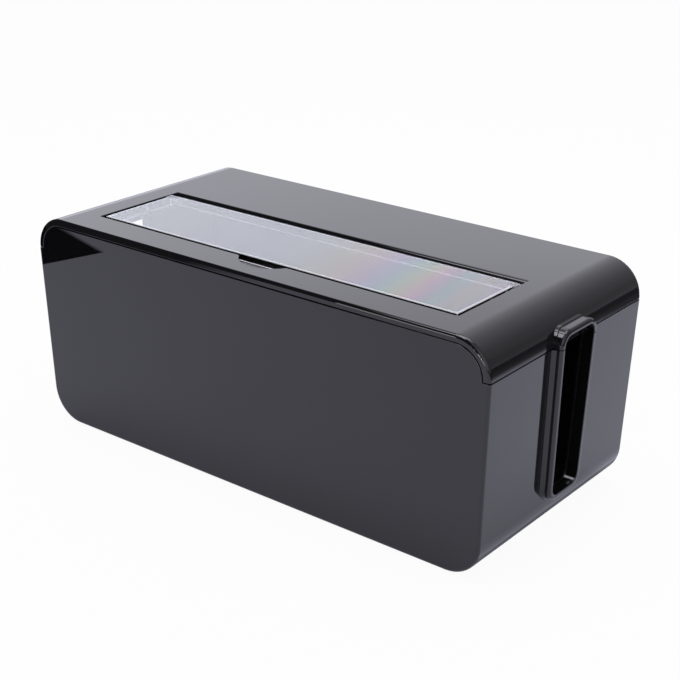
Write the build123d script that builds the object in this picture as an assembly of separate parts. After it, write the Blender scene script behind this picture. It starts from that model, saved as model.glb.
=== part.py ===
from build123d import *
import os

# Cable management box: a tapered tub with a cable slot in each end, a lift-off lid and a clear flap
# in the lid. Millimetres, +Z up, front at -Y. Heights in this file are measured from the tub's
# underside; every piece is raised by FOOT_PROUD at the end, so that the feet stand on z = 0.

# --- outside of the closed box ---
LENGTH = 338.0          # at the lid's top
DEPTH = 159.5           # at the lid's top
HEIGHT = 138.1          # tub's underside to the lid's top
END_LEAN = 4.26         # how far each end wall leans in over the height
SIDE_LEAN = 2.75        # the same for the front and back walls
CORNER_R = 21.5         # the four big roundings seen from the front
EDGE_R = 2.0            # rounding where the front and back meet the rest
WALL = 2.4

# --- seam between tub and lid ---
SEAM_Z = 116.3          # on the ends
SEAM_GAP = 0.5
BAND = 4.55             # height of the lid's rim on the front and back
BAND_LEAN = 0.35        # how far the rim's face leans back over that height
SEAM_EDGE_R = 0.35      # rounding of both edges along the seam
SKIRT_FIT = 0.35        # clearance between the lid's skirt and the tub's walls
SKIRT_WALL = 1.6
SKIRT_DEPTH = 3.0       # how far the skirt reaches down into the tub, also across the cable slots
LID_WALL = WALL + SKIRT_FIT + SKIRT_WALL
CEILING_X = LENGTH / 2 - CORNER_R               # where the lid's top is only WALL thick
CEILING_Y = DEPTH / 2 - SIDE_LEAN - LID_WALL

# --- cable slot and its collar, centred on each end ---
SLOT_HALF = 14.25       # half width of the opening, at SLOT_HALF_Z
SLOT_HALF_Z = 70.0
SLOT_DRAFT = 0.0225     # how much the half width grows per millimetre of height
SLOT_BOTTOM = 26.6
SLOT_TOP = 122.8
SLOT_R = 5.5
COLLAR_OUT = 5.5        # how far the lip stands out of the end wall
LIP = 3.3               # the lip's wall
LIP_R = 1.9             # rounding of the lip's outer edge
LIP_INNER_R = 0.4       # rounding of its inner edge
FLANGE_OUT = 2.5        # the wider tier at the wall
FLANGE = 1.6            # how far its foot stands round the lip
FLANGE_SLOPE = 25       # degrees that its sides lean in towards the lip
ARCH_FLANGE = 0.65      # the same tier on the lid, lower and following the lid's curve
ARCH_FLANGE_OUT = 1.8

# --- window in the lid ---
WINDOW_HALF = 133.7
WINDOW_FRONT = -57.6
WINDOW_BACK = 9.1
WINDOW_BACK_R = 2.7     # rounding of its upper back edge
RECESS = 4.8            # depth of the ledge that the flap's front wall lies on
PAN_WALL = 2.2
LIGHT_FRONT = -52.6     # the opening starts behind the ledge
NOTCH_Y = -47.1         # finger notch, a round pocket at the front of the window
NOTCH_R = 20.6
NOTCH = 6.0
WINDOW_EDGE_R = 0.5     # rounding of the other upper edges

# --- clear flap and its hinge ---
FLAP_HALF = 131.7
FLAP_FRONT = -55.0
FLAP_BACK = 5.4
FLAP_HEIGHT = 4.2       # of its front wall and its hinge ears
SIDE_HEIGHT = 7.0       # of its side and back walls
SIDE_FRONT = -52.0      # where the deep side walls start, clear of the ledge
FLAP_THICK = 1.6
RIM_WALL = 1.8
RIB_PLACES = (-21.5, -0.8)      # ribs inside the side walls
RIB = 0.8
RIB_OUT = 1.0
FLAP_SUNK = 0.2         # how far its top lies under the lid's top
FLAP_EDGE_R = 0.5
FLAP_BACK_R = 1.6       # rounding of its upper back edge
RIM_EDGE_R = 0.3        # rounding of the walls' lower edges
EAR = 1.6               # how far the hinge ears stand out of the flap's ends
EAR_FRONT = -1.7
HINGE_Y = 3.0
KNUCKLE_R = FLAP_HEIGHT / 2
KNUCKLE_LENGTH = 7.6
PIN_R = 1.0
PIN_LENGTH = 9.3
PIN_IN_KNUCKLE = 6.6
PIN_CHAMFER = 0.2
PIN_CLEARANCE = 0.05    # all round, in the lid's sockets
PIN_END_ROOM = 0.3
BOSS = 4.2              # block in the lid round each pin's far end

# --- rubber feet ---
FOOT_X = 126.0
FOOT_Y = 58.0
FOOT_R = 8.0
FOOT_PROUD = 1.2
FOOT_SUNK = 1.0
FOOT_EDGE_R = 0.5
FOOT_FIT = 0.1          # clearance round each foot in its pocket

FAR = 400.0             # larger than the box, for cutting tools
ABOVE = HEIGHT + 1.0
NEAR = 0.1              # how close an edge lies to the surface that it is picked by
HINGE_Z = HEIGHT - FLAP_SUNK - KNUCKLE_R
KNUCKLE_END = FLAP_HALF + EAR
PIN_START = KNUCKLE_END - PIN_IN_KNUCKLE
END_WALL = Plane(origin=(LENGTH / 2 - END_LEAN, 0, 0), x_dir=(0, 1, 0), z_dir=(HEIGHT, 0, -END_LEAN))


def block(x, y, z):
    """Box between the two limits given for each axis."""
    size = [high - low for low, high in (x, y, z)]
    middle = [(high + low) / 2 for low, high in (x, y, z)]
    return Pos(*middle) * Box(*size)


def tapered_bar(plane, half_top, lean, corner=0.0, inset=0.0):
    """Endless bar along the plane's normal: wider at the top by the lean, shrunk by the inset."""
    points = [(-half_top, HEIGHT), (half_top, HEIGHT), (half_top - lean, 0), (lean - half_top, 0)]
    face = plane * Polygon(*points, align=None)
    if corner:
        face = fillet(face.vertices(), corner)
    if inset:
        face = offset(face, -inset, kind=Kind.INTERSECTION)
    return extrude(face, FAR, both=True)


def outline(inset=0.0):
    """The box seen from the front, with its four big roundings, as a bar along Y."""
    return tapered_bar(Plane.XZ, LENGTH / 2, END_LEAN, CORNER_R, inset)


def body(inset=0.0):
    """Whole outside of the closed box, shrunk by the inset."""
    return outline(inset) & tapered_bar(Plane.YZ, DEPTH / 2, SIDE_LEAN, inset=inset)


def rounded_body():
    """The outside with its front and back edges rounded."""
    shape = body()
    walls = shape.faces().sort_by(Axis.Y)
    return fillet(walls[0].edges() + walls[-1].edges(), EDGE_R)


def leaning_body():
    """The outside with the lid's rim leaning back on the front and back, and its edges rounded."""
    shape = body()
    for end in (0, -1):
        wall = shape.faces().sort_by(Axis.Y)[end]
        shape = chamfer(wall.edges(), BAND, BAND_LEAN, reference=wall)
    core = outline(NEAR).solid()
    at_walls = DEPTH / 2 - SIDE_LEAN - WALL

    def on_rim(edge):
        middle = edge @ 0.5
        return abs(middle.Y) > at_walls and not core.is_inside(middle)

    return fillet(shape.edges().filter_by(on_rim), EDGE_R)


def tub_zone(grow):
    """What belongs to the tub: all below the seam, and the front and back inside the lid's rim."""
    return block((-FAR, FAR), (-FAR, FAR), (-FAR, SEAM_Z + grow)) + outline(BAND - grow)


def soften_seam(piece):
    """Round the piece's outer edges along the seam."""
    skin, core, inside_band = body(-NEAR).solid(), body(NEAR).solid(), outline(BAND / 2).solid()

    def on_seam(edge):
        middle = edge @ 0.5
        if core.is_inside(middle) or not skin.is_inside(middle):
            return False
        return abs(middle.Z - SEAM_Z) < SEAM_GAP or (middle.Z > SEAM_Z and inside_band.is_inside(middle))

    return fillet(piece.edges().filter_by(on_seam), SEAM_EDGE_R)


def slot_half(z, grow=0.0):
    """Half width of the slot at a height."""
    return SLOT_HALF + SLOT_DRAFT * (z - SLOT_HALF_Z) + grow


def slot_face(plane, low, high, radius, grow=0.0, rounded="both"):
    """The slot's shape, grown all round, on an upright plane."""
    points = [(-slot_half(low, grow), low), (slot_half(low, grow), low),
              (slot_half(high, grow), high), (-slot_half(high, grow), high)]
    face = plane * Polygon(*points, align=None)
    corners = face.vertices().sort_by(Axis.Z)
    picked = {"low": corners[:2], "high": corners[2:], "both": corners}[rounded]
    return fillet(picked, radius)


def slot_solid(low, high, x_from, x_to, radius, grow=0.0, rounded="both"):
    """Bar of the slot's shape along X."""
    face = slot_face(Plane.YZ, low, high, radius, grow, rounded)
    return Pos(x_from, 0, 0) * extrude(face, x_to - x_from)


def outside_cut(stand_out):
    """Tool that removes everything further out than a plane parallel to the right end wall."""
    top = LENGTH / 2 + stand_out
    points = [(top - END_LEAN, 0), (top, HEIGHT), (top + FAR, HEIGHT), (top + FAR, 0)]
    return extrude(Plane.XZ * Polygon(*points, align=None), FAR, both=True)


def slot_tool():
    """Removes the slot from the end wall and its collar."""
    return slot_solid(SLOT_BOTTOM, SLOT_TOP, CEILING_X - CORNER_R, LENGTH, SLOT_R)


def end_face_edges(lip):
    """Edges of the face that looks away from the box, without those along the seam."""
    end = lip.faces().sort_by(Axis.X)[-1]
    return end.edges().filter_by(lambda edge: abs(edge.center().Z - SEAM_Z) > SEAM_GAP)


def finish_lip(lip):
    """Cut the lip off parallel to the wall, open the slot in it and round its two edges."""
    lip = lip - outside_cut(COLLAR_OUT)
    lip = fillet(end_face_edges(lip), LIP_R) - slot_tool()
    opening = slot_solid(SLOT_BOTTOM - NEAR, SLOT_TOP + NEAR, CEILING_X, LENGTH, SLOT_R, NEAR).solid()
    mouth = end_face_edges(lip).filter_by(lambda edge: opening.is_inside(edge @ 0.5))
    return fillet(mouth, LIP_INNER_R)


def tub_collar():
    """Stepped U round the right slot, below the seam. The tier at the wall has sloping sides."""
    high = SEAM_Z - SEAM_GAP / 2
    wide = FLANGE + LIP
    lip = slot_solid(SLOT_BOTTOM - LIP, high, CEILING_X, LENGTH, SLOT_R + LIP, LIP, "low")
    foot_of_flange = slot_face(END_WALL, SLOT_BOTTOM - wide, SLOT_TOP, SLOT_R + wide, wide, "low")
    flange = extrude(foot_of_flange, FLANGE_OUT, taper=FLANGE_SLOPE) + extrude(foot_of_flange, -WALL / 2)
    return finish_lip(lip) + (flange & block((0, FAR), (-FAR, FAR), (0, high)))


def lid_arch():
    """Stepped arch round the right slot, above the seam."""
    low = SEAM_Z + SEAM_GAP / 2
    wide = ARCH_FLANGE + LIP
    lip = slot_solid(low, SLOT_TOP + LIP, CEILING_X, LENGTH, SLOT_R + LIP, LIP, "high")
    flange = slot_solid(low, SLOT_TOP + wide, CEILING_X, LENGTH, SLOT_R + wide, wide, "high")
    return finish_lip(lip) + (flange & body(-ARCH_FLANGE_OUT))


def both_ends(shape):
    return shape + mirror(shape, Plane.YZ)


def along_x(middle, radius, length):
    """Rod on the hinge's axis."""
    return Pos(middle, HINGE_Y, HINGE_Z) * Rot(0, 90, 0) * Cylinder(radius, length)


def foot_places():
    return {f"foot_{end}_{side}": (x, y)
            for end, y in (("front", -FOOT_Y), ("back", FOOT_Y))
            for side, x in (("left", -FOOT_X), ("right", FOOT_X))}


def base_tub():
    tub = soften_seam(rounded_body() & tub_zone(-SEAM_GAP / 2))
    tub = tub + both_ends(tub_collar())
    tub = tub - body(WALL) - both_ends(slot_tool())
    for x, y in foot_places().values():
        tub = tub - Pos(x, y, FOOT_SUNK / 2) * Cylinder(FOOT_R + FOOT_FIT, FOOT_SUNK)
    return tub


def half_round(radius, low, high):
    """The finger notch's shape, up to the front edge of the opening inside the ledge."""
    disc = Pos(0, NOTCH_Y, (low + high) / 2) * Cylinder(radius, high - low)
    return disc & block((-FAR, FAR), (-FAR, LIGHT_FRONT), (low, high))


def window_pan():
    """Material that hangs under the lid's top round the window, before it is opened."""
    under = HEIGHT - WALL / 2
    half = WINDOW_HALF + PAN_WALL
    pan_y = (WINDOW_FRONT - PAN_WALL, WINDOW_BACK + PAN_WALL)
    pan = block((-half, half), pan_y, (HEIGHT - RECESS - PAN_WALL, under))
    notch = half_round(NOTCH_R + PAN_WALL, HEIGHT - NOTCH - PAN_WALL, under)
    boss = block((WINDOW_HALF, WINDOW_HALF + BOSS), (HINGE_Y - BOSS, HINGE_Y + BOSS), (HINGE_Z - BOSS, under))
    return pan + notch + both_ends(boss)


def back_rounding():
    """Tool that rounds the window's upper back edge."""
    reach = WINDOW_BACK + WINDOW_BACK_R
    corner = block((-WINDOW_HALF, WINDOW_HALF), (WINDOW_BACK, reach), (HEIGHT - WINDOW_BACK_R, ABOVE))
    return corner - Pos(0, reach, HEIGHT - WINDOW_BACK_R) * Rot(0, 90, 0) * Cylinder(WINDOW_BACK_R, FAR)


def window_cut():
    """Everything that is open in the lid's window."""
    half = (-WINDOW_HALF, WINDOW_HALF)
    recess = block(half, (WINDOW_FRONT, WINDOW_BACK), (HEIGHT - RECESS, ABOVE))
    light = block(half, (LIGHT_FRONT, WINDOW_BACK), (0, ABOVE))
    notch = half_round(NOTCH_R, HEIGHT - NOTCH, ABOVE)
    sockets = along_x(0, PIN_R + PIN_CLEARANCE, 2 * (PIN_START + PIN_LENGTH + PIN_END_ROOM))
    return recess + light + notch + back_rounding() + sockets


def on_window_rim(edge):
    """The window's upper edges, without the back one."""
    middle = edge @ 0.5
    near_x = abs(middle.X) < WINDOW_HALF + NEAR
    near_y = NOTCH_Y - NOTCH_R - NEAR < middle.Y < WINDOW_BACK
    level = all(abs((edge @ along).Z - HEIGHT) < NEAR for along in (0, 0.5, 1))
    return near_x and near_y and level


def lid_shell():
    outside = soften_seam(leaning_body() - tub_zone(SEAM_GAP / 2))
    skirt = body(WALL + SKIRT_FIT) & block((-FAR, FAR), (-FAR, FAR), (SEAM_Z - SKIRT_DEPTH, FAR))
    ceiling = body(WALL) & block((-CEILING_X, CEILING_X), (-CEILING_Y, CEILING_Y), (SEAM_Z, HEIGHT))
    lid = outside + skirt + both_ends(lid_arch())
    lid = lid - body(LID_WALL) - ceiling + window_pan() - window_cut()
    lid = lid - both_ends(slot_tool() - body(WALL + SKIRT_FIT))
    return fillet(lid.edges().filter_by(on_window_rim), WINDOW_EDGE_R)


def flap_rib(y):
    """Upright rib inside the flap's right wall."""
    top = HEIGHT - FLAP_SUNK
    face = FLAP_HALF - RIM_WALL
    heights = (top - SIDE_HEIGHT + RIM_EDGE_R, top - FLAP_THICK)
    return block((face - RIB_OUT, face), (y - RIB / 2, y + RIB / 2), heights)


def window_flap():
    """Tray lying upside down: a shallow front wall, deeper side and back walls, and at each end of its
    back edge an ear with a knuckle."""
    top = HEIGHT - FLAP_SUNK
    low = top - FLAP_HEIGHT
    inner = FLAP_HALF - RIM_WALL
    tray = block((-FLAP_HALF, FLAP_HALF), (FLAP_FRONT, FLAP_BACK), (low, top))
    tray = tray + block((-KNUCKLE_END, KNUCKLE_END), (EAR_FRONT, FLAP_BACK), (low, top))
    tray = fillet(tray.edges().group_by(Axis.Z)[-1].sort_by(Axis.Y)[-1], FLAP_BACK_R)
    tray = fillet(tray.edges().group_by(Axis.Z)[-1].sort_by(Axis.Y)[:-1], FLAP_EDGE_R)
    tray = tray + block((-FLAP_HALF, FLAP_HALF), (SIDE_FRONT, FLAP_BACK), (top - SIDE_HEIGHT, low))
    room_y = (FLAP_FRONT + RIM_WALL, FLAP_BACK - RIM_WALL)
    tray = tray - block((-inner, inner), room_y, (top - SIDE_HEIGHT, top - FLAP_THICK))
    tray = fillet(tray.edges().group_by(Axis.Z)[0].filter_by(GeomType.LINE), RIM_EDGE_R)
    for y in RIB_PLACES:
        tray = tray + both_ends(flap_rib(y))
    knuckle = along_x(KNUCKLE_END - KNUCKLE_LENGTH / 2, KNUCKLE_R, KNUCKLE_LENGTH)
    bore = along_x(KNUCKLE_END - PIN_IN_KNUCKLE / 2, PIN_R, PIN_IN_KNUCKLE)
    return tray + both_ends(knuckle) - both_ends(bore)


def hinge_pin(side):
    pin = along_x(side * (PIN_START + PIN_LENGTH / 2), PIN_R, PIN_LENGTH)
    return chamfer(pin.edges().filter_by(GeomType.CIRCLE), PIN_CHAMFER)


def foot(x, y):
    height = FOOT_PROUD + FOOT_SUNK
    pad = Pos(x, y, FOOT_SUNK - height / 2) * Cylinder(FOOT_R, height)
    return fillet(pad.edges().group_by(Axis.Z)[0], FOOT_EDGE_R)


def pieces():
    named = {"base_tub": base_tub(), "lid_shell": lid_shell(), "window_flap": window_flap(),
             "hinge_pin_left": hinge_pin(-1), "hinge_pin_right": hinge_pin(1)}
    named.update({name: foot(x, y) for name, (x, y) in foot_places().items()})
    return named


def main():
    os.makedirs("parts", exist_ok=True)
    for name, shape in pieces().items():
        export_step(Pos(0, 0, FOOT_PROUD) * shape, f"parts/{name}.step")


main()
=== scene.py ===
"""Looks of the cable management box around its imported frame. Metres, +Z up, front at -Y."""

import math

import bpy
from mathutils import Matrix, Vector

# ------------------------------------------------------------------ sizes

# The box, as in the part's source.
LENGTH = 0.338
DEPTH = 0.1595
HEIGHT = 0.1381
WALL = 0.0024
UNDERSIDE = 0.0012           # height of the tub's underside on its feet
END_LEAN = 0.00426
SIDE_LEAN = 0.00275

# Where parts of the clear flap begin. Heights are above the floor.
FLAP_INNER_X = 0.1299        # inner faces of its side walls
FLAP_INNER_FRONT = -0.0532   # inner face of its front wall
BACK_ROUNDING = 0.0040       # rounding of its upper back edge
RIB_FROM = 0.1288            # inner ends of the ribs
LOWER_EDGE = 0.1327          # top of the strip along the walls' lower edges
PLATE_UNDER = 0.1374         # just under the plate
PLATE_FROM = 0.1377          # just inside the plate
EAR_FRONT = -0.0017          # front of the hinge ears
FACING_UP = 0.4              # how far a normal points up on a top face
FACING_DOWN = -0.3           # and on an underside

# ------------------------------------------------------------------ camera

# Fitted to the object's outline and inner edges. Its picture is 680 x 680. Angles in degrees.
CAMERA_PLACE = (0.50817, -0.62895, 0.40427)
CAMERA_AZIMUTH = 38.326
CAMERA_ELEVATION = 22.286
CAMERA_ROLL = 0.42
CAMERA_LENS = 75.373
SENSOR = 36.0

# ------------------------------------------------------------------ studio

# A white paper sweep that runs away from the camera. ACROSS points to its right, ALONG away.
ACROSS = (0.785, 0.620, 0.0)
ALONG = (-0.620, 0.785, 0.0)
UP = (0.0, 0.0, 1.0)
WHITE = (1.0, 1.0, 1.0, 1.0)
FLOOR_HALF = 30.0
FLOOR_COLOUR = 0.92
FLOOR_GLOW = 0.95            # share of the floor's own white that the eye sees
MIRROR_GLOW = 0.30           # and that reflections see
PAPER_TINT = (0.96, 0.96, 1.14, 1.0)
SKY_TINT = (0.975, 0.97, 1.08, 1.0)
FILL = 0.55                  # even light for matt surfaces

# Brightness of the studio in reflections, as (place, level) stops.
PAPER_ACROSS = ((-1.0, 0.08), (-0.61, 0.08), (-0.53, 1.15), (0.43, 1.15), (0.49, 0.40),
                (0.56, 0.18), (1.0, 0.12))
PAPER_ALONG = ((-2.0, 0.6), (-0.5, 1.15), (0.0, 1.05), (0.4, 0.95), (0.65, 1.08), (1.35, 1.4),
               (3.0, 1.7))
SKY_ACROSS = ((-1.0, 0.05), (-0.40, 0.05), (-0.27, 1.25), (-0.12, 1.06), (0.0, 1.0), (0.25, 0.95),
              (0.57, 0.70), (0.84, 0.37), (1.0, 0.20))
SKY_UP = ((-0.3, 1.7), (0.03, 1.5), (0.14, 1.25), (0.24, 1.18), (0.28, 1.28), (0.32, 1.36),
          (0.37, 1.28), (0.60, 1.15), (0.80, 0.90), (1.0, 0.60))

# Round lamps in the mirrored sky: direction, cosines of the rim and of the even middle, level.
GLOW = ((-0.61, 0.54, 0.58), (0.955, 0.992), 0.75)        # a soft one high behind the object
LINE = ((-0.339, -0.363, 0.868), (0.966, 0.974), 6.0)     # a bare one, seen in the lid's long roundings

# Painted shade: a dark patch in the paper's light, left of the object, seen only in reflections.
PAINTED_SHADE_TIP = (-0.481, -0.012)  # its corner, across and along
PAINTED_SHADE_SLOPES = (3.4, 0.44)    # of the edges to the right and to the left of the corner
PAINTED_SHADE_SOFT = 0.0025
PAINTED_SHADE_END = -0.455            # its right end

# Soft lamps: place, point that they look at, width, height, radiance.
OVERHEAD = ((-0.1, 0.1, 1.6), (0.0, 0.0, 0.1), 1.0, 0.8, 4.0)
STRIP = ((-0.11, -0.9, 0.045), (-0.11, 0.0, 0.045), 0.82, 0.08, 8.0)

# ------------------------------------------------------------------ finishes

# Noises: scale, detail, roughness; a RANGE is the part of a noise's values that counts.
# Bumps: strength, distance.
NOISE_MIDDLE = (0.3, 0.7)    # most of any noise's values
BLACKS = ((0.0040, 0.0040, 0.0048, 1.0), (0.0060, 0.0060, 0.0070, 1.0))
BLACK_IOR = 1.5
POLISHED = (0.010, 0.024)    # roughness, clean and handled
BLASTED = (0.40, 0.48)       # roughness where the mould was only blasted
SPECK_DULL = 0.04            # roughness that a speck of dust adds
HANDLING = (9.0, 4.0, 0.6)
HANDLING_RANGE = (0.35, 0.7)
SPECKS = (900.0, 2.0, 0.5)
SPECK_RANGE = (0.66, 0.74)
WAVES = (14.0, 1.0, 0.4)
WAVE_BUMP = (0.02, 0.0006)
SCUFFS = (1.0, 3.0, 0.6)
SCUFF_STRETCH = (40.0, 900.0, 300.0)
SCUFF_BUMP = (0.015, 0.00004)
GRAIN = (3000.0, 2.0, 0.6)
GRAIN_BUMP = (0.25, 0.00003)

CLEAR_TINT = (0.97, 0.97, 0.98, 1.0)
CLEAR_IOR = 1.59
CLEAR_ROUGH = (0.012, 0.03)  # clean and smeared
SMEAR = (60.0, 3.0, 0.6)
SMEAR_RANGE = (0.4, 0.75)
# Painted highlight: the whitish colour given to the flap's walls, their lower edges, the ribs and the back
# rounding.
PAINTED_EDGE_HIGHLIGHT = (0.90, 0.90, 1.0, 1.0)
EDGE_CLEAR = 0.15            # share of the light that a whitened edge, a painted highlight, still lets through
EDGE_ROUGH = 0.12
# How strongly the top over the walls is whitened, a painted highlight.
TOP_PAINTED_HIGHLIGHT = 0.5
FRINGE_SLANT = 0.11
FRINGE_RISE = 5.2
FRINGE_WARP = 0.08
FRINGE_NOISE = (9.0, 1.0, 0.4)
FILM_THIN = 215.0            # nanometres
FILM_THICK = 900.0
FILM_IOR = 1.72

STEEL_COLOUR = (0.58, 0.58, 0.6, 1.0)
STEEL_ROUGH = (0.25, 0.4)
STEEL_LINES = (1.0, 2.0, 0.5)
STEEL_STRETCH = (60.0, 4000.0, 4000.0)
STEEL_BUMP = (0.2, 0.00002)

RUBBER_COLOURS = ((0.014, 0.014, 0.014, 1.0), (0.05, 0.05, 0.048, 1.0))     # clean and dusty
RUBBER_ROUGH = (0.62, 0.8)
RUBBER_GRAIN = (2500.0, 2.0, 0.6)
RUBBER_BUMP = (0.35, 0.0001)
RUBBER_DUST = (180.0, 3.0, 0.6)
DUST_RANGE = (0.5, 0.8)

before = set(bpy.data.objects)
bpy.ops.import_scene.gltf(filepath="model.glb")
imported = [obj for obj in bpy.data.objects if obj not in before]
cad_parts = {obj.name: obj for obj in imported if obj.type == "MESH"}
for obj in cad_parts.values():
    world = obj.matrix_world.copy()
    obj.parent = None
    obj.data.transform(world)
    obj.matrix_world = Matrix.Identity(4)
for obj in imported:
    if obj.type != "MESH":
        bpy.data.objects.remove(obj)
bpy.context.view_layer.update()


# ------------------------------------------------------------------ node helpers

def new_material(name):
    """An empty node material and its output node."""
    material = bpy.data.materials.new(name)
    material.use_nodes = True
    tree = material.node_tree
    tree.nodes.clear()
    return material, tree, tree.nodes.new("ShaderNodeOutputMaterial")


def node(tree, kind, inputs=None, **settings):
    """A shader node with its settings and inputs; an input may be a value or another node's socket."""
    made = tree.nodes.new(kind)
    for key, value in settings.items():
        setattr(made, key, value)
    for key, value in (inputs or {}).items():
        if isinstance(value, bpy.types.NodeSocket):
            tree.links.new(value, made.inputs[key])
        else:
            made.inputs[key].default_value = value
    return made


def maths(tree, operation, first, *others):
    """The result socket of a chain of Math nodes with one operation."""
    for other in others or (0.0,):
        first = node(tree, "ShaderNodeMath", {0: first, 1: other}, operation=operation).outputs[0]
    return first


def times(tree, *values):
    return maths(tree, "MULTIPLY", *values)


def plus(tree, *values):
    return maths(tree, "ADD", *values)


def largest(tree, *values):
    return maths(tree, "MAXIMUM", *values)


def above(tree, value, limit):
    """1 where the value is over the limit."""
    return maths(tree, "GREATER_THAN", value, limit)


def below(tree, value, limit):
    """1 where the value is under the limit."""
    return maths(tree, "LESS_THAN", value, limit)


def remap(tree, value, span, result=(0.0, 1.0)):
    """The value moved from one range to another, and held to it."""
    made = node(tree, "ShaderNodeMapRange", {
        "Value": value, "From Min": span[0], "From Max": span[1], "To Min": result[0], "To Max": result[1]})
    return made.outputs["Result"]


def blend(tree, share, first, second):
    """A number between two."""
    return node(tree, "ShaderNodeMix", {"Factor": share, "A": first, "B": second}).outputs["Result"]


def blend_colours(tree, share, first, second):
    return node(tree, "ShaderNodeMixRGB", {"Fac": share, "Color1": first, "Color2": second}).outputs[0]


def blend_shaders(tree, share, first, second):
    return node(tree, "ShaderNodeMixShader", {0: share, 1: first.outputs[0], 2: second.outputs[0]})


def noise(tree, place, scale, detail, rough):
    """A noise texture's value socket."""
    made = node(tree, "ShaderNodeTexNoise", {
        "Vector": place, "Scale": scale, "Detail": detail, "Roughness": rough})
    return made.outputs["Fac"]


def bump(tree, height, strength, distance, under=None):
    """The normal of a bump, laid over another bump's if that is given."""
    inputs = {"Strength": strength, "Distance": distance, "Height": height}
    if under is not None:
        inputs["Normal"] = under
    return node(tree, "ShaderNodeBump", inputs).outputs["Normal"]


def profile(tree, value, stops):
    """A level that runs through (place, level) stops."""
    first, last = stops[0][0], stops[-1][0]
    top = max(level for place, level in stops)
    made = node(tree, "ShaderNodeValToRGB", {"Fac": remap(tree, value, (first, last))})
    ramp = made.color_ramp
    while len(ramp.elements) < len(stops):
        ramp.elements.new(0.5)
    for element, (place, level) in zip(ramp.elements, stops):
        element.position = (place - first) / (last - first)
        element.color = (level / top, level / top, level / top, 1.0)
    return times(tree, made.outputs["Color"], top)


def dot(tree, vector, way):
    """How far a vector reaches along a direction."""
    return node(tree, "ShaderNodeVectorMath", {0: vector, 1: way}, operation="DOT_PRODUCT").outputs["Value"]


def upwards(tree):
    """How far the surface's normal points up."""
    return dot(tree, node(tree, "ShaderNodeNewGeometry").outputs["Normal"], UP)


def object_place(tree, stretch=(1.0, 1.0, 1.0)):
    """Object coordinates, stretched."""
    coordinates = node(tree, "ShaderNodeTexCoord")
    mapping = node(tree, "ShaderNodeMapping", {"Vector": coordinates.outputs["Object"], "Scale": stretch})
    return mapping.outputs["Vector"]


def object_axes(tree):
    """Object coordinates, one socket for each axis."""
    return node(tree, "ShaderNodeSeparateXYZ", {"Vector": object_place(tree)}).outputs


def finish_material(material, tree, output, inputs):
    """Give a material its one Principled shader."""
    shader = node(tree, "ShaderNodeBsdfPrincipled", inputs)
    tree.links.new(shader.outputs[0], output.inputs["Surface"])
    return material


# ------------------------------------------------------------------ materials

def inside_walls(tree):
    """1 inside the tub's walls and above its underside, where the mould was left satin."""
    place = object_axes(tree)
    drop = remap(tree, place["Z"], (0.0, HEIGHT), (1.0, 0.0))
    mask = above(tree, place["Z"], UNDERSIDE)
    for axis, half, lean in (("X", LENGTH / 2, END_LEAN), ("Y", DEPTH / 2, SIDE_LEAN)):
        reach = plus(tree, maths(tree, "ABSOLUTE", place[axis]), times(tree, drop, lean))
        mask = times(tree, mask, below(tree, reach, half - WALL / 2))
    return mask


def lid_underside(tree):
    """1 on the lid's underside."""
    return below(tree, upwards(tree), FACING_DOWN)


def black_gloss(name, satin):
    """Polished black ABS: faint flow waves, hairline scuffs, specks of dust, and a film of handling that
    dulls it in places; satin is where the mould was only blasted."""
    material, tree, output = new_material(name)
    place = object_place(tree)
    core = satin(tree)
    film = noise(tree, place, *HANDLING)
    specks = remap(tree, noise(tree, place, *SPECKS), SPECK_RANGE, (0.0, SPECK_DULL))
    polished = plus(tree, remap(tree, film, HANDLING_RANGE, POLISHED), specks)
    blasted = remap(tree, film, NOISE_MIDDLE, BLASTED)
    waves = bump(tree, noise(tree, place, *WAVES), *WAVE_BUMP)
    scuffs = bump(tree, noise(tree, object_place(tree, SCUFF_STRETCH), *SCUFFS), *SCUFF_BUMP, waves)
    grain_strength, grain_depth = GRAIN_BUMP
    grain = bump(tree, noise(tree, place, *GRAIN), times(tree, core, grain_strength), grain_depth, scuffs)
    return finish_material(material, tree, output, {
        "Base Color": blend_colours(tree, remap(tree, film, NOISE_MIDDLE), *BLACKS),
        "Roughness": blend(tree, core, polished, blasted), "IOR": BLACK_IOR, "Normal": grain})


def flap_painted_highlight(tree):
    """Painted highlight: how much the clear plastic is whitened to stand in for the light caught in it, on
    top over its walls, at their lower edges, in the ribs and along its back rounding.
    """
    place = object_axes(tree)
    reach = maths(tree, "ABSOLUTE", place["X"])
    between_walls = below(tree, reach, FLAP_INNER_X)
    side_walls = times(tree, above(tree, reach, FLAP_INNER_X), below(tree, place["Y"], EAR_FRONT))
    front_wall = below(tree, place["Y"], FLAP_INNER_FRONT)
    top_face = times(tree, above(tree, upwards(tree), FACING_UP), above(tree, place["Z"], PLATE_FROM))
    top = times(tree, largest(tree, side_walls, front_wall), top_face)
    back = times(tree, above(tree, place["Y"], BACK_ROUNDING), between_walls, top_face)
    lower = below(tree, place["Z"], LOWER_EDGE)
    rib = times(tree, above(tree, reach, RIB_FROM), between_walls, below(tree, place["Z"], PLATE_UNDER))
    return largest(tree, times(tree, top, TOP_PAINTED_HIGHLIGHT), back, lower, rib)


def fringe_order(tree):
    """Moulding stress: 0 at the flap's left end, rising ever faster to 1 at its right end."""
    place = object_axes(tree)
    warp = times(tree, noise(tree, object_place(tree), *FRINGE_NOISE), FRINGE_WARP)
    slanted = plus(tree, place["X"], times(tree, place["Y"], FRINGE_SLANT))
    share = remap(tree, slanted, (-FLAP_INNER_X, FLAP_INNER_X))
    return plus(tree, maths(tree, "POWER", share, FRINGE_RISE), warp)


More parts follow.
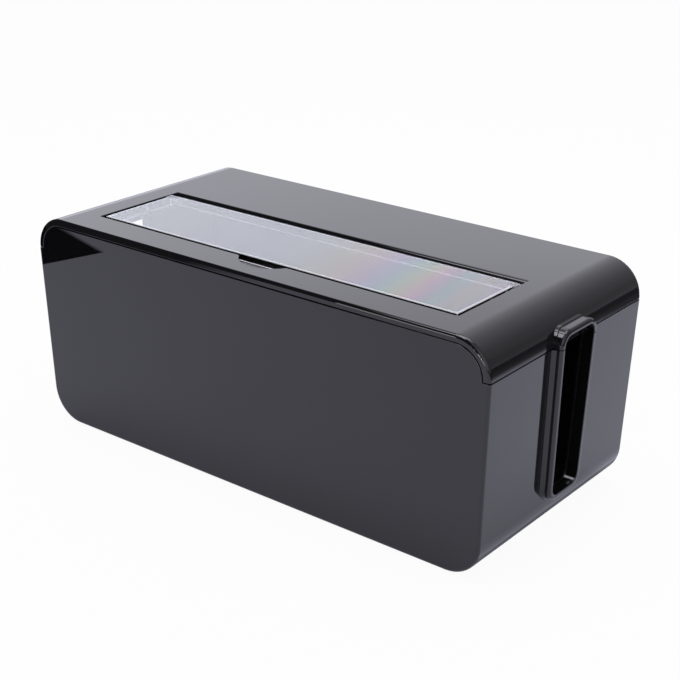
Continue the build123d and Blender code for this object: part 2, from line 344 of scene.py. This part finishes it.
def clear_plastic():
    """Clear polystyrene, smeared a little by fingers, its walls frosted and whitened: the whitening is a
    painted highlight for the light they catch.
    """
    material, tree, output = new_material("clear_flap")
    # Painted highlight: the walls and edges are whitened and let less light through.
    painted_highlight = flap_painted_highlight(tree)
    smear = noise(tree, object_place(tree), *SMEAR)
    roughness = plus(tree, remap(tree, smear, SMEAR_RANGE, CLEAR_ROUGH), times(tree, painted_highlight, EDGE_ROUGH))
    return finish_material(material, tree, output, {
        "Base Color": blend_colours(tree, painted_highlight, CLEAR_TINT, PAINTED_EDGE_HIGHLIGHT),
        "Roughness": roughness, "IOR": CLEAR_IOR,
        "Transmission Weight": remap(tree, painted_highlight, (0.0, 1.0), (1.0, EDGE_CLEAR)),
        "Thin Film Thickness": remap(tree, fringe_order(tree), (0.0, 1.0), (FILM_THIN, FILM_THICK)),
        "Thin Film IOR": FILM_IOR})


def steel():
    """Drawn steel wire."""
    material, tree, output = new_material("pin_steel")
    lines = noise(tree, object_place(tree, STEEL_STRETCH), *STEEL_LINES)
    return finish_material(material, tree, output, {
        "Base Color": STEEL_COLOUR, "Metallic": 1.0,
        "Roughness": remap(tree, lines, NOISE_MIDDLE, STEEL_ROUGH),
        "Normal": bump(tree, lines, *STEEL_BUMP)})


def rubber():
    """Matt black rubber with a fine grain and a little dust."""
    material, tree, output = new_material("foot_rubber")
    place = object_place(tree)
    dust = noise(tree, place, *RUBBER_DUST)
    return finish_material(material, tree, output, {
        "Base Color": blend_colours(tree, remap(tree, dust, DUST_RANGE), *RUBBER_COLOURS),
        "Roughness": remap(tree, dust, NOISE_MIDDLE, RUBBER_ROUGH),
        "Normal": bump(tree, noise(tree, place, *RUBBER_GRAIN), *RUBBER_BUMP)})


def paint(name, material):
    """Give a CAD node its finish."""
    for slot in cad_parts[name].material_slots:
        slot.material = material


def dress():
    """Finishes of the CAD nodes."""
    paint("base_tub", black_gloss("tub_black", inside_walls))
    paint("lid_shell", black_gloss("lid_black", lid_underside))
    paint("window_flap", clear_plastic())
    pin = steel()
    foot = rubber()
    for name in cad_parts:
        if name.startswith("hinge_pin"):
            paint(name, pin)
        if name.startswith("foot_"):
            paint(name, foot)


# ------------------------------------------------------------------ studio

def rays(tree):
    """1 for what the eye, a mirror or glass sees, and 1 for what has been mirrored on its way."""
    path = node(tree, "ShaderNodeLightPath").outputs
    seen = largest(tree, path["Is Camera Ray"], path["Is Glossy Ray"], path["Is Transmission Ray"])
    return seen, maths(tree, "MINIMUM", path["Glossy Depth"], 1.0)


def round_lamp(tree, way, direction, edge, level):
    """Brightness of a round lamp in the sky."""
    made = node(tree, "ShaderNodeMapRange", {
        "Value": dot(tree, way, direction), "From Min": edge[0], "From Max": edge[1], "To Max": level},
        interpolation_type="SMOOTHSTEP")
    return made.outputs["Result"]


def make_world():
    """White for what is seen directly, the lit studio for what is mirrored, even light for the rest."""
    world = bpy.data.worlds.new("studio")
    bpy.context.scene.world = world
    world.use_nodes = True
    tree = world.node_tree
    tree.nodes.clear()
    output = tree.nodes.new("ShaderNodeOutputWorld")
    way = node(tree, "ShaderNodeTexCoord").outputs["Generated"]
    sky = times(tree, profile(tree, dot(tree, way, ACROSS), SKY_ACROSS),
                profile(tree, dot(tree, way, UP), SKY_UP))
    lamps = plus(tree, round_lamp(tree, way, *GLOW), round_lamp(tree, way, *LINE))
    seen, mirrored = rays(tree)
    plain = node(tree, "ShaderNodeBackground", {"Color": WHITE, "Strength": FILL})
    white = node(tree, "ShaderNodeBackground", {"Color": WHITE, "Strength": 1.0})
    studio = node(tree, "ShaderNodeBackground", {"Color": SKY_TINT, "Strength": plus(tree, sky, lamps)})
    both = blend_shaders(tree, seen, plain, blend_shaders(tree, mirrored, white, studio))
    tree.links.new(both.outputs[0], output.inputs["Surface"])


def off_painted_shade(tree, across, along):
    """0 on the patch of painted shade, 1 off it."""
    side = maths(tree, "SUBTRACT", across, PAINTED_SHADE_TIP[0])
    right = times(tree, largest(tree, side, 0.0), PAINTED_SHADE_SLOPES[0])
    left = times(tree, largest(tree, times(tree, side, -1.0), 0.0), PAINTED_SHADE_SLOPES[1])
    edge = plus(tree, right, left, PAINTED_SHADE_TIP[1])
    over = remap(tree, maths(tree, "SUBTRACT", along, edge), (-PAINTED_SHADE_SOFT, PAINTED_SHADE_SOFT))
    within = remap(tree, across, (PAINTED_SHADE_END - PAINTED_SHADE_SOFT, PAINTED_SHADE_END + PAINTED_SHADE_SOFT), (1.0, 0.0))
    return maths(tree, "SUBTRACT", 1.0, times(tree, over, within))


def floor_material():
    """Pale studio floor: white to the eye, the lit paper in reflections, with the soft shadow kept."""
    material, tree, output = new_material("studio_floor")
    place = node(tree, "ShaderNodeTexCoord").outputs["Object"]
    across = dot(tree, place, ACROSS)
    along = dot(tree, place, ALONG)
    # The paper's light in reflections, with the patch of painted shade.
    lit = times(tree, profile(tree, across, PAPER_ACROSS), profile(tree, along, PAPER_ALONG),
                off_painted_shade(tree, across, along))
    seen, mirrored = rays(tree)
    tint = blend_colours(tree, mirrored, WHITE, PAPER_TINT)
    strength = blend(tree, mirrored, 1.0, lit)
    white = node(tree, "ShaderNodeEmission", {"Color": tint, "Strength": strength})
    paper = node(tree, "ShaderNodeVectorMath", {0: tint, "Scale": times(tree, strength, FLOOR_COLOUR)},
                 operation="SCALE").outputs[0]
    matt = node(tree, "ShaderNodeBsdfDiffuse", {"Color": paper})
    share = times(tree, seen, blend(tree, mirrored, FLOOR_GLOW, MIRROR_GLOW))
    tree.links.new(blend_shaders(tree, share, matt, white).outputs[0], output.inputs["Surface"])
    return material


def make_floor():
    """A flat square at the feet's height."""
    half = FLOOR_HALF
    corners = [(-half, -half, 0), (half, -half, 0), (half, half, 0), (-half, half, 0)]
    mesh = bpy.data.meshes.new("studio_floor")
    mesh.from_pydata(corners, [], [(0, 1, 2, 3)])
    mesh.materials.append(floor_material())
    floor = bpy.data.objects.new("studio_floor", mesh)
    bpy.context.scene.collection.objects.link(floor)


def make_softbox(name, place, target, width, height, radiance):
    """A rectangular soft lamp of an even brightness that looks at a point."""
    lamp = bpy.data.lights.new(name, "AREA")
    lamp.shape = "RECTANGLE"
    lamp.size = width
    lamp.size_y = height
    lamp.energy = radiance * math.pi * width * height
    light = bpy.data.objects.new(name, lamp)
    light.location = place
    light.rotation_euler = (Vector(target) - Vector(place)).to_track_quat("-Z", "Y").to_euler()
    light.visible_camera = False
    bpy.context.scene.collection.objects.link(light)
    return light


def make_lamps():
    """One soft lamp overhead, and a strip low in front that lights no matt surface."""
    make_softbox("overhead", *OVERHEAD)
    strip = make_softbox("strip", *STRIP)
    strip.visible_diffuse = False


def make_camera():
    """The camera, turned by azimuth, elevation and a small roll."""
    azimuth, elevation, roll = (math.radians(a) for a in (CAMERA_AZIMUTH, CAMERA_ELEVATION, CAMERA_ROLL))
    back = Vector((math.sin(azimuth) * math.cos(elevation), -math.cos(azimuth) * math.cos(elevation),
                   math.sin(elevation)))
    level = Vector((math.cos(azimuth), math.sin(azimuth), 0.0))
    upright = back.cross(level)
    right = level * math.cos(roll) + upright * math.sin(roll)
    up = upright * math.cos(roll) - level * math.sin(roll)
    data = bpy.data.cameras.new("camera")
    data.lens = CAMERA_LENS
    data.sensor_width = SENSOR
    camera = bpy.data.objects.new("camera", data)
    turn = Matrix((right, up, back)).transposed().to_4x4()
    camera.matrix_world = Matrix.Translation(CAMERA_PLACE) @ turn
    bpy.context.scene.collection.objects.link(camera)
    bpy.context.scene.camera = camera


dress()
make_world()
make_floor()
make_lamps()
make_camera()
bpy.context.scene.view_settings.view_transform = "Standard"
